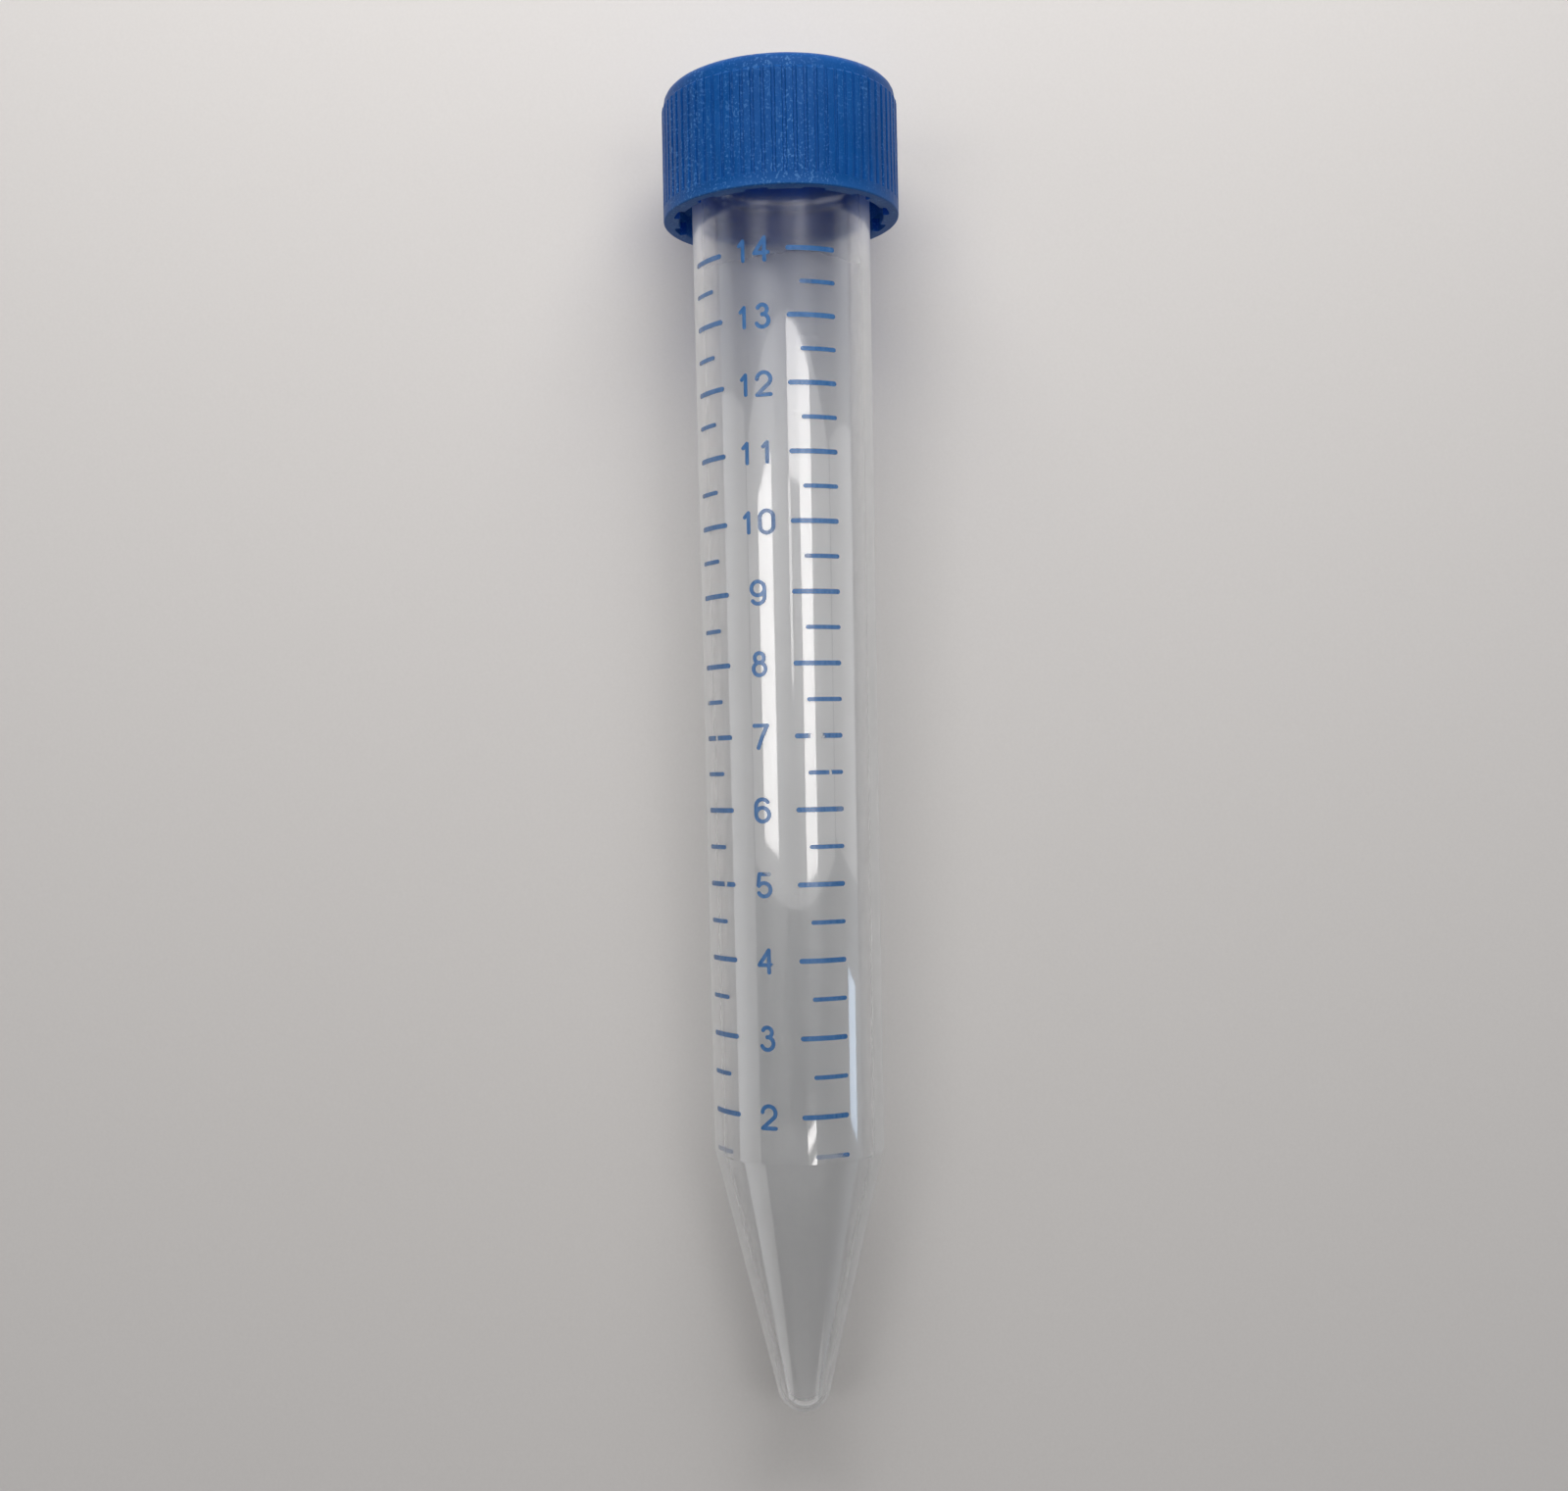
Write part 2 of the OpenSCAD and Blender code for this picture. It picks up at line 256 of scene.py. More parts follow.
outside_angle = flank_angle(SHOULDER_RADIUS - SKIN, TIP_RADIUS - SKIN)
bore_angle = flank_angle(SHOULDER_BORE, TIP_BORE)
lip = TUBE_LENGTH - LIP_DROP
tube_line = rounded(
    arc(TIP_RADIUS, TIP_RADIUS - SKIN, -90, -outside_angle, TIP_STEPS)
    + [
        (SHOULDER_RADIUS - SKIN, SHOULDER_HEIGHT, SHOULDER_ROUND),
        (LOW_KNEE[0] - SKIN, LOW_KNEE[1], 0),
        (HIGH_KNEE[0] - SKIN, HIGH_KNEE[1], 0),
        (MOUTH_RADIUS - SKIN, lip, LIP_ROUND),
        (MOUTH_BORE + LIP_CHAMFER, lip, 0.03),
        (MOUTH_BORE, lip - LIP_CHAMFER, 0.05),
        (SHOULDER_BORE, SHOULDER_HEIGHT, BORE_SHOULDER_ROUND),
    ]
    + arc(TIP_RADIUS, TIP_BORE, -bore_angle, -90, TIP_BORE_STEPS)
)
print("section of the tube:", len(tube_line), "points, cone leaves the tip at",
      round(outside_angle, 2), "degrees")

# %% Spin the tube's wall
tube = draw_section("tube_wall", tube_line)
spin(TUBE_COLUMNS, 360)
weld()

# %% [markdown]
# ## Threads
#
# The tube's neck carries an outside thread, and the cap an inside one that engages it half a
# pitch lower. A thread is a small trapezoid drawn up along a helix: Blender's Screw modifier
# does exactly that. On a moulded thread both ends run out into the wall, so the last few rings
# are sunk one by one. A ring is found by its height and its direction from the axis, and its
# root, which stays where it is, by its radius. The finished ridge is joined to its wall with
# an exact boolean, which leaves one clean skin; clear plastic would show a wall hidden inside
# another.

# %% A thread ridge
THREAD_STEP = 6
CREST_ROUND = 0.1
FADE = 36
SUNK_SHARE = 0.75
RING_HEIGHT = 0.8
RING_WIDTH = 0.02
ROOT_BAND = 0.05


def thread_ridge(name, root, crest, root_width, crest_width, height, start, turns):
    """A helical ridge from root to crest, its middle at a height where it starts, in degrees"""
    line = rounded([
        (root, -root_width / 2, 0),
        (crest, -crest_width / 2, CREST_ROUND),
        (crest, crest_width / 2, CREST_ROUND),
        (root, root_width / 2, 0),
    ], steps=2)
    ridge = draw_section(name, [Vector((p.x, p.y + height)) for p in line], closed=True)
    bpy.ops.mesh.delete(type="ONLY_FACE")
    bpy.ops.object.mode_set(mode="OBJECT")
    screw = ridge.modifiers.new("Thread", "SCREW")
    screw.angle = math.radians(turns * 360)
    screw.screw_offset = turns * THREAD_PITCH * MM
    screw.steps = screw.render_steps = round(turns * 360 / THREAD_STEP)
    screw.use_smooth_shade = False
    bpy.ops.object.modifier_apply(modifier=screw.name)
    bpy.ops.object.mode_set(mode="EDIT")
    sink_ends(ridge, root, crest, height, turns)
    bpy.ops.mesh.select_all(action="SELECT")
    bpy.ops.mesh.fill_holes(sides=len(line) + 1)
    weld()
    bpy.ops.object.mode_set(mode="OBJECT")
    ridge.matrix_world = Matrix.Rotation(math.radians(start), 4, "Z")
    bpy.ops.object.transform_apply(location=True, rotation=True, scale=True)
    return ridge


def sink_ends(ridge, root, crest, height, turns):
    """Lower the crest towards the root, ring by ring, over the first and the last degrees"""
    rise = THREAD_PITCH * MM / 360
    for ring in range(0, FADE, THREAD_STEP):
        for turned in (ring, turns * 360 - ring):
            angle = math.radians(turned)
            outward = Vector((math.cos(angle), math.sin(angle), 0))
            middle = height * MM + turned * rise

            def on_crest(v):
                """Whether a vertex is on this ring, and on its crest"""
                aside = v.co - v.co.dot(outward) * outward
                return (abs(v.co.z - middle) < RING_HEIGHT * MM
                        and v.co.dot(outward) > 0
                        and abs(v.co.xy.length - root * MM) > ROOT_BAND * MM
                        and aside.xy.length < RING_WIDTH * MM)

            pick(ridge, "verts", on_crest)
            depth = (root - crest) * (1 - ring / FADE) * SUNK_SHARE * MM
            bpy.ops.transform.translate(value=depth * outward)


# %% Join the thread to the tube's neck
THREAD_BELOW_LIP = 1.9
THREAD_ROOT_WIDTH = 1.5
THREAD_CREST_WIDTH = 0.6
THREAD_TURNS = 1.8
THREAD_SUNK = 0.3

thread_low = TUBE_LENGTH - THREAD_BELOW_LIP - THREAD_ROOT_WIDTH / 2 - THREAD_TURNS * THREAD_PITCH
neck_thread = thread_ridge("neck_thread", MOUTH_RADIUS - THREAD_SUNK, THREAD_CREST,
                           THREAD_ROOT_WIDTH, THREAD_CREST_WIDTH, thread_low, 0, THREAD_TURNS)
apply_boolean(tube, neck_thread, "UNION")
finish_mesh(tube, 30)
lay_down(tube)

# %% [markdown]
# ## The screw cap
#
# The cap is a shallow cup. Outside, seventy-two fine grooves leave broad ribs that stop in
# small slopes under the rounded top edge, and a plain band runs round the open rim. Inside are
# a seal ring, the thread, and twelve shallow pockets in the rim. A spin of the whole section
# would need every groove cut afterwards. One groove's sector is modelled instead, from the
# middle of one rib to the middle of the next, and copied round.

# %% The cap's section
RIB_TOP = 119.37
GROOVE_LOW = CAP_RIM + 1.15
RIB_HEIGHT = CAP_RIB_RADIUS - CAP_PLAIN_RADIUS
GROOVE_STOPS = (-0.05, 0.03, 3, 6)
SEAL_DEPTH = 1.8
GATE_RADIUS = 1.6
GATE_DEPTH = 0.18
GATE_STUB = (0.55, 0.45)
GATE_STUB_TOP = CAP_TOP - 0.06

cap_line = rounded([
    (0, TUBE_LENGTH, 0),
    (SEAL_INSIDE, TUBE_LENGTH, 0.15),
    (SEAL_INSIDE + 0.12, TUBE_LENGTH - SEAL_DEPTH, 0.2),
    (SEAL_OUTSIDE - 0.06, TUBE_LENGTH - SEAL_DEPTH, 0.25),
    (SEAL_OUTSIDE, TUBE_LENGTH, 0.1),
    (CAP_BORE, TUBE_LENGTH, 0.3),
    (CAP_BORE, CAP_RIM + 3, 0),
    (CAP_BORE, CAP_RIM, 0.12),
    (CAP_RIB_RADIUS, CAP_RIM, 0.15),
    *[(CAP_RIB_RADIUS, GROOVE_LOW + stop, 0) for stop in GROOVE_STOPS],
    (CAP_RIB_RADIUS, RIB_TOP, 0.06),
    (CAP_PLAIN_RADIUS, RIB_TOP + RIB_HEIGHT, 0.06),
    (CAP_PLAIN_RADIUS, CAP_TOP, 1.0),
    (GATE_RADIUS + GATE_DEPTH, CAP_TOP, 0.05),
    (GATE_RADIUS, CAP_TOP - GATE_DEPTH, 0.05),
    (GATE_STUB[0], CAP_TOP - GATE_DEPTH, 0.03),
    (GATE_STUB[1], GATE_STUB_TOP, 0.03),
    (0, GATE_STUB_TOP, 0),
], steps=5)
print("section of the cap:", len(cap_line), "points")

# %% One sector of the cap. Each column is (degrees, share of the groove's depth)
GROOVES = 72
GROOVE_COLUMNS = [(-2.5, 0), (-1.12, 0), (-0.92, 0.14), (-0.74, 0.86), (-0.56, 1),
                  (0.56, 1), (0.74, 0.86), (0.92, 0.14), (1.12, 0), (2.5, 0)]

cap = draw_section("cap_shell", cap_line)
turn(GROOVE_COLUMNS[0][0])
for (a, _), (b, _) in zip(GROOVE_COLUMNS, GROOVE_COLUMNS[1:]):
    spin(1, b - a)
angles = [math.degrees(math.atan2(v.co.y, v.co.x))
          for v in bmesh.from_edit_mesh(cap.data).verts if v.co.x > MM]
print("sector from", round(min(angles), 2), "to", round(max(angles), 2), "degrees")

# %% Sink the groove's columns
SAME_PLACE = 1e-4


def in_groove(v, at):
    """Whether a vertex lies in the column at an angle, where the ribs stand above the plain wall"""
    return (abs(math.atan2(v.co.y, v.co.x) - at) < SAME_PLACE
            and v.co.xy.length > (CAP_PLAIN_RADIUS + 0.001) * MM
            and GROOVE_LOW * MM < v.co.z < CAP_TOP * MM)


for angle, share in GROOVE_COLUMNS:
    if share == 0:
        continue
    at = math.radians(angle)
    column = [v for v in bmesh.from_edit_mesh(cap.data).verts if in_groove(v, at)]
    for radius in sorted({round(v.co.xy.length / MM, 4) for v in column}):
        pick(cap, "verts", lambda v: (
            in_groove(v, at) and abs(v.co.xy.length / MM - radius) < SAME_PLACE))
        depth = share * (radius - CAP_PLAIN_RADIUS) * MM
        bpy.ops.transform.translate(value=(-depth * math.cos(at), -depth * math.sin(at), 0))

# %% Copy the sector round and weld it into one skin
bpy.ops.mesh.select_all(action="SELECT")
spin(GROOVES - 1, 360 - 360 / GROOVES, copies=True)
weld()

# %% The pockets in the rim
POCKETS = 12
POCKET_MIDDLE = 15
POCKET_ANGLE = 12.5
POCKET_STEPS = 6
POCKET_START = CAP_BORE - 0.7
POCKET_RADIUS = 10.0
POCKET_FLOOR = CAP_RIM - 1
POCKET_TOP = CAP_RIM + 1.2
POCKET_ROUND = 0.25

pocket = draw_section("pocket", [
    Vector((POCKET_START, POCKET_FLOOR)), Vector((POCKET_RADIUS, POCKET_FLOOR)),
    Vector((POCKET_RADIUS, POCKET_TOP)), Vector((POCKET_START, POCKET_TOP))], closed=True)
turn(POCKET_MIDDLE - POCKET_ANGLE / 2)
spin(POCKET_STEPS, POCKET_ANGLE)
bpy.ops.mesh.select_all(action="SELECT")
bpy.ops.mesh.normals_make_consistent(inside=False)
corners = pick(pocket, "edges", lambda e: (
    all(v.co.xy.length > (CAP_BORE + 0.3) * MM for v in e.verts)
    and all(abs(math.degrees(math.atan2(v.co.y, v.co.x)) - POCKET_MIDDLE) > POCKET_ANGLE / 2 - 0.1
            for v in e.verts)
    and abs(e.verts[0].co.z - e.verts[1].co.z) > MM))
bpy.ops.mesh.bevel(offset=POCKET_ROUND * MM, segments=3, affect="EDGES")
print("corners rounded on the pocket:", corners)
bpy.ops.mesh.select_all(action="SELECT")
spin(POCKETS - 1, 360 - 360 / POCKETS, copies=True)
bpy.ops.mesh.select_all(action="SELECT")
bpy.ops.mesh.normals_make_consistent(inside=False)
apply_boolean(cap, pocket, "DIFFERENCE")

# %% The cap's inside thread
CAP_THREAD_START = 110
CAP_THREAD_TURNS = 1.6
CAP_THREAD_DEPTH = 0.85
CAP_THREAD_WIDTHS = (1.4, 0.5)

cap_thread_low = thread_low - THREAD_PITCH / 2 + THREAD_PITCH * CAP_THREAD_START / 360
cap_thread = thread_ridge("cap_thread", CAP_BORE + THREAD_SUNK, CAP_BORE - CAP_THREAD_DEPTH,
                          *CAP_THREAD_WIDTHS, cap_thread_low, CAP_THREAD_START, CAP_THREAD_TURNS)
apply_boolean(cap, cap_thread, "UNION")
finish_mesh(cap, 32)
lay_down(cap)

# %% [markdown]
# ## Coordinates that follow the tube
#
# Grain needs no direction, but wear, haze and the ink's faults sit at places along the tube
# and round it. A Mapping node turns the object's own coordinates upright again, so a material
# can ask how far along the tube, and how far from its axis, a point lies. Nothing depends on
# where the camera stands.

# %% Small helpers for node materials
UPRIGHT = LAID.inverted()


def new_tree(tree, inputs=(), outputs=()):
    """Give a node group its sockets: inputs (name, type, default), outputs (name, type)"""
    for name, kind, default in inputs:
        socket = tree.interface.new_socket(name, in_out="INPUT", socket_type=kind)
        socket.default_value = default
    for name, kind in outputs:
        tree.interface.new_socket(name, in_out="OUTPUT", socket_type=kind)


def add(tree, kind, at, inputs=None, **settings):
    """Add a node, set it up, and link or set its inputs by name or number"""
    node = tree.nodes.new(kind)
    node.location = (at[0] * 200, at[1] * -180)
    for key, value in settings.items():
        setattr(node, key, value)
    for key, value in (inputs or {}).items():
        if isinstance(value, bpy.types.NodeSocket):
            tree.links.new(value, node.inputs[key])
        else:
            node.inputs[key].default_value = value
    return node


def ramp(tree, at, factor, stops):
    """A colour ramp from (place, grey or colour) stops"""
    node = add(tree, "ShaderNodeValToRGB", at, {"Fac": factor})
    elements = node.color_ramp.elements
    while len(elements) < len(stops):
        elements.new(0.5)
    for element, (place, colour) in zip(elements, stops):
        element.position = place
        element.color = colour if isinstance(colour, tuple) else (colour, colour, colour, 1)
    return node.outputs["Color"]


def math_node(tree, at, operation, a, b=0.0):
    """A Math node's result"""
    return add(tree, "ShaderNodeMath", at, {0: a, 1: b}, operation=operation).outputs[0]


def upright_point(tree, at):
    """The point in millimetres, with Z along the tube from its tip"""
    place = add(tree, "ShaderNodeTexCoord", at).outputs["Object"]
    turned = add(tree, "ShaderNodeMapping", (at[0] + 1, at[1]), {
        "Vector": place,
        "Location": UPRIGHT.to_translation(),
        "Rotation": UPRIGHT.to_euler("XYZ"),
    }, vector_type="POINT")
    return add(tree, "ShaderNodeVectorMath", (at[0] + 2, at[1]),
               {0: turned.outputs[0], 3: 1 / MM}, operation="SCALE").outputs[0]


def new_material(name, colour, roughness):
    """A material with a Principled shader, and its tree"""
    material = bpy.data.materials.new(name)
    material.use_nodes = True
    material.diffuse_color = colour
    tree = material.node_tree
    shader = tree.nodes["Principled BSDF"]
    shader.location = (600, 0)
    tree.nodes["Material Output"].location = (1200, 0)
    shader.inputs["Base Color"].default_value = colour
    shader.inputs["Roughness"].default_value = roughness
    return material, tree, shader


# %% [markdown]
# ## Grain and scuffs
#
# Moulded plastic is never even. The mould's skin leaves a fine grain, handling leaves patches
# that are a little duller, and storage leaves fine scratches. All three pieces need them, so
# each is a node group that puts out a mask, built once and placed with its own size.

# %% Grain, as a height
grain = bpy.data.node_groups.new("moulded_grain", "ShaderNodeTree")
new_tree(grain, [("Size mm", "NodeSocketFloat", 0.2)], [("Height", "NodeSocketFloat")])
grain_in = add(grain, "NodeGroupInput", (0, 0))
grain_point = upright_point(grain, (0, 1))
grain_scale = math_node(grain, (1, 0), "DIVIDE", 1.0, grain_in.outputs["Size mm"])
fine = add(grain, "ShaderNodeTexNoise", (4, 0), {
    "Vector": grain_point, "Scale": grain_scale, "Detail": 2.0, "Roughness": 0.6})
broad = add(grain, "ShaderNodeTexNoise", (4, 2), {
    "Vector": grain_point, "Scale": 0.35, "Detail": 1.0})
grain_sum = math_node(grain, (5, 0), "MULTIPLY_ADD", fine.outputs["Fac"], 0.8)
grain.links.new(broad.outputs["Fac"], grain_sum.node.inputs[2])
add(grain, "NodeGroupOutput", (6, 0), {"Height": grain_sum})

# %% Scuffs, as a mask of dull patches and fine scratches
SCRATCH_STRETCH = (6.0, 6.0, 0.35)

scuffs = bpy.data.node_groups.new("handling_scuffs", "ShaderNodeTree")
new_tree(scuffs, [("Amount", "NodeSocketFloat", 0.5)], [("Mask", "NodeSocketFloat")])
scuff_in = add(scuffs, "NodeGroupInput", (0, 0))
scuff_point = upright_point(scuffs, (0, 1))
patches = add(scuffs, "ShaderNodeTexNoise", (4, 0), {
    "Vector": scuff_point, "Scale": 0.12, "Detail": 5.0, "Roughness": 0.65})
stretched = add(scuffs, "ShaderNodeVectorMath", (3, 2),
                {0: scuff_point, 1: SCRATCH_STRETCH}, operation="MULTIPLY")
scratches = add(scuffs, "ShaderNodeTexNoise", (4, 2), {
    "Vector": stretched.outputs[0], "Scale": 1.2, "Detail": 3.0, "Roughness": 0.7})
patch_mask = ramp(scuffs, (5, 0), patches.outputs["Fac"], [(0.45, 0.0), (0.75, 1.0)])
scratch_mask = ramp(scuffs, (5, 2), scratches.outputs["Fac"], [(0.63, 0.0), (0.7, 1.0)])
either = math_node(scuffs, (6, 1), "MAXIMUM", patch_mask, scratch_mask)
scaled = math_node(scuffs, (7, 1), "MULTIPLY", either, scuff_in.outputs["Amount"])
add(scuffs, "NodeGroupOutput", (8, 0), {"Mask": scaled})


def grain_bump(tree, at, size, distance, strength):
    """A bump from the grain group, as a normal"""
    group = add(tree, "ShaderNodeGroup", at, node_tree=grain)
    group.inputs["Size mm"].default_value = size
    return add(tree, "ShaderNodeBump", (at[0] + 1, at[1]), {
        "Height": group.outputs["Height"], "Distance": distance * MM, "Strength": strength,
    }).outputs["Normal"]


def scuff_mask(tree, at, amount):
    """The scuffs group, as a mask"""
    group = add(tree, "ShaderNodeGroup", at, node_tree=scuffs)
    group.inputs["Amount"].default_value = amount
    return group.outputs["Mask"]


# %% [markdown]
# ## Clear polypropylene
#
# Natural polypropylene bends light like glass, only a little less, and its crystals scatter
# some of it, so the wall is clear with a faint milkiness. The bright bands along both edges
# come by themselves from a real wall with a real index of refraction. Where the eye looks
# along the wall the way through the plastic is long, and a diffuse share makes it milky there.
# A clear tube throws a light shadow, not a black one, so for shadow rays the wall is partly
# see-through, and less so in the cone, where the plastic is thicker. The bore is duller than
# the outside, which the mould polished, and dullest in the cone. At the mouth the core of the
# mould is polished too, so that the seal ring slides, and the bore gets clear there.

# %% The tube's two materials
CLEAR_COLOUR = (0.97, 0.975, 0.98, 1)
SHADOW_TINT = (0.93, 0.95, 0.97, 1)
MILK = (0.78, 0.79, 0.8, 1)
CLEAR_INDEX = 1.49
COAT_INDEX = 1.8
CLEARNESS = 0.985
SHADOW_CLEARNESS = 0.64
CONE_SHADOW_CLEARNESS = 0.25
CONE_DULLING = 0.2
MOUTH_POLISH = 0.19
MOUTH_POLISH_STARTS = 102.5
MOUTH_POLISH_FULL = 106.0


def clear_wall(name, polished, dulled):
    """Clear plastic that is duller where it is scuffed. Gives its tree, shader and roughness"""
    material, tree, shader = new_material(name, CLEAR_COLOUR, polished)
    shader.inputs["IOR"].default_value = CLEAR_INDEX
    shader.inputs["Transmission Weight"].default_value = CLEARNESS
    scuffed = scuff_mask(tree, (0, 1), 1.0)
    roughness = ramp(tree, (1, 1), scuffed, [(0.0, polished), (1.0, dulled)])
    tree.links.new(roughness, shader.inputs["Roughness"])
    tube.data.materials.append(material)
    return tree, shader, roughness


def let_light_through(tree, surface):
    """Finish a clear material: for shadow rays most of its surface isn't there"""
    passes = add(tree, "ShaderNodeBsdfTransparent", (4, 2), {"Color": SHADOW_TINT})
    rays = add(tree, "ShaderNodeLightPath", (3, -1))
    height = add(tree, "ShaderNodeSeparateXYZ", (1, -6), {0: upright_point(tree, (-2, -6))})
    clearness = add(tree, "ShaderNodeMapRange", (2, -6), {
        "Value": height.outputs["Z"],
        "From Min": SHOULDER_HEIGHT + 3, "From Max": SHOULDER_HEIGHT - 6,
        "To Min": SHADOW_CLEARNESS, "To Max": CONE_SHADOW_CLEARNESS})
    shade = math_node(tree, (4, -1), "MULTIPLY", rays.outputs["Is Shadow Ray"],
                      clearness.outputs[0])
    mixed = add(tree, "ShaderNodeMixShader", (5, 0), {0: shade, 1: surface, 2: passes.outputs[0]})
    tree.links.new(mixed.outputs[0], tree.nodes["Material Output"].inputs["Surface"])


tree, shader, _ = clear_wall("clear_outside", 0.04, 0.1)
shader.inputs["Coat Weight"].default_value = 1.0
shader.inputs["Coat IOR"].default_value = COAT_INDEX
facing = add(tree, "ShaderNodeLayerWeight", (0, -3), {"Blend": 0.5}).outputs["Facing"]
inside_out = add(tree, "ShaderNodeNewGeometry", (0, -4)).outputs["Backfacing"]
long_way = ramp(tree, (1, -3), facing, [(0.35, 0.0), (0.6, 0.35), (1.0, 0.55)])
milkiness = math_node(tree, (3, -3), "MULTIPLY", long_way, math_node(
    tree, (2, -4), "SUBTRACT", 1.0, inside_out))
milk = add(tree, "ShaderNodeBsdfDiffuse", (3, -2), {"Color": MILK})
milky = add(tree, "ShaderNodeMixShader", (4, -2), {
    0: milkiness, 1: shader.outputs["BSDF"], 2: milk.outputs[0]})
let_light_through(tree, milky.outputs[0])

tree, shader, roughness = clear_wall("clear_bore", 0.34, 0.42)
height = add(tree, "ShaderNodeSeparateXYZ", (0, 4), {0: upright_point(tree, (-3, 4))}).outputs["Z"]
in_cone = add(tree, "ShaderNodeMapRange", (1, 4), {
    "Value": height, "From Min": SHOULDER_HEIGHT + 4, "From Max": SHOULDER_HEIGHT - 2,
    "To Max": CONE_DULLING})
rougher = math_node(tree, (2, 3), "ADD", roughness, in_cone.outputs[0])
at_mouth = add(tree, "ShaderNodeMapRange", (1, 5), {
    "Value": height, "From Min": MOUTH_POLISH_STARTS, "From Max": MOUTH_POLISH_FULL,
    "To Max": MOUTH_POLISH}, interpolation_type="SMOOTHSTEP")
polished_mouth = math_node(tree, (3, 3), "SUBTRACT", rougher, at_mouth.outputs[0])
tree.links.new(polished_mouth, shader.inputs["Roughness"])
let_light_through(tree, shader.outputs["BSDF"])

# %% The bore gets the second material
INWARD = -0.2
ON_AXIS = 1e-5

axis_foot = LAID @ Vector((0, 0, 0))
for face in tube.data.polygons:
    from_axis = face.center - axis_foot
    from_axis -= from_axis.dot(pull) * pull
    if from_axis.length < ON_AXIS or face.normal.dot(from_axis) < INWARD * from_axis.length:
        face.material_index = 1
print("faces of the bore:", sum(face.material_index for face in tube.data.polygons))

# %% [markdown]
# ## Matte blue plastic
#
# The cap's mould is spark-eroded, which gives its plain faces a fine matte grain. Fingers
# polish the ribs, and the pigment is not perfectly even. Pale flecks, gathered in slanting
# bands, are painted highlights: glints of light on the grain. The edge of the open rim is
# painted paler, as light falling on it. The plastic isn't quite opaque: a little blue light
# gets through each skin of the wall, and tints what lies under the cap.

# %% The cap's material
CAP_BLUE = (0.001, 0.058, 0.235, 1)
CAP_BLUE_LIGHT = (0.012, 0.088, 0.3, 1)
CAP_GLOW = (0.01, 0.27, 0.62, 1)
CAP_BLUE_DEEP = (0.001, 0.05, 0.205, 1)
CAP_PAINTED_GLINT = (0.06, 0.18, 0.42, 1)
GLINT_BAND_SLANT = -38
GLINT_BAND_STRETCH = (0.55, 0.55, 0.05)

cap_plastic, tree, shader = new_material("matte_blue_plastic", CAP_BLUE, 0.45)
shader.inputs["Specular IOR Level"].default_value = 0.15
point = upright_point(tree, (-3, 4))
clouds = add(tree, "ShaderNodeTexNoise", (0, 4), {"Vector": point, "Scale": 0.25, "Detail": 4.0})
pigment = ramp(tree, (1, 4), clouds.outputs["Fac"],
               [(0.3, CAP_BLUE_DEEP), (0.7, CAP_BLUE)])
worn = scuff_mask(tree, (0, 1), 0.55)
# Painted highlights: pale flecks that stand for glints of light on the grain, in slanting bands.
glint_noise = add(tree, "ShaderNodeTexNoise", (0, 5), {"Vector": point, "Scale": 4.5, "Detail": 1.0})
painted_glint_mask = ramp(tree, (1, 5), glint_noise.outputs["Fac"], [(0.56, 0.0), (0.66, 1.0)])
turned = add(tree, "ShaderNodeVectorRotate", (-2, 6),
             {"Vector": point, "Angle": math.radians(GLINT_BAND_SLANT)}, rotation_type="Z_AXIS")
drawn_out = add(tree, "ShaderNodeVectorMath", (-1, 6),
                {0: turned.outputs[0], 1: GLINT_BAND_STRETCH}, operation="MULTIPLY")
glint_bands = add(tree, "ShaderNodeTexNoise", (0, 6), {
    "Vector": drawn_out.outputs[0], "Scale": 1.0, "Detail": 2.0})
painted_glint_share = math_node(tree, (2, 5), "MULTIPLY", painted_glint_mask, ramp(
    tree, (1, 6), glint_bands.outputs["Fac"], [(0.42, 0.1), (0.6, 0.65)]))
# Painted light: the edge of the open rim is made paler, as light falling on it. The scuffs are real
# wear.
along = add(tree, "ShaderNodeSeparateXYZ", (0, 7), {0: point}).outputs["Z"]
painted_rim_light = add(tree, "ShaderNodeMapRange", (1, 7), {
    "Value": along, "From Min": CAP_RIM + 0.9, "From Max": CAP_RIM + 0.1, "To Max": 0.8}).outputs[0]
wear_and_painted_rim_light = math_node(tree, (1, 3), "MAXIMUM", worn, painted_rim_light)
blue = add(tree, "ShaderNodeMixRGB", (2, 3), {0: wear_and_painted_rim_light, 1: pigment, 2: CAP_BLUE_LIGHT})
painted_glints_added = add(tree, "ShaderNodeMixRGB", (3, 3), {
    0: painted_glint_share, 1: blue.outputs[0], 2: CAP_PAINTED_GLINT})
tree.links.new(painted_glints_added.outputs[0], shader.inputs["Base Color"])
tree.links.new(ramp(tree, (1, 1), worn, [(0.0, 0.42), (1.0, 0.56)]), shader.inputs["Roughness"])
tree.links.new(grain_bump(tree, (0, 9), 0.16, 0.02, 0.7), shader.inputs["Normal"])
tinted = add(tree, "ShaderNodeBsdfTransparent", (4, 2), {"Color": CAP_GLOW})
rays = add(tree, "ShaderNodeLightPath", (4, -2))
mixed = add(tree, "ShaderNodeMixShader", (5, 0), {
    0: rays.outputs["Is Shadow Ray"], 1: shader.outputs["BSDF"], 2: tinted.outputs[0]})
tree.links.new(mixed.outputs[0], tree.nodes["Material Output"].inputs["Surface"])
cap.data.materials.append(cap_plastic)
print("blue plastic:", len(tree.nodes), "nodes")

# %% [markdown]
# ## Printed ink
#
# The scale is screen-printed. The ink lies on the plastic as a thin, dull layer, a little
# combed in strength, and it wears off in small places first where the tube is held. One node
# group makes one worn place with a ragged edge. A list says where they are, and the largest
# of all their masks is taken off the ink's Alpha.

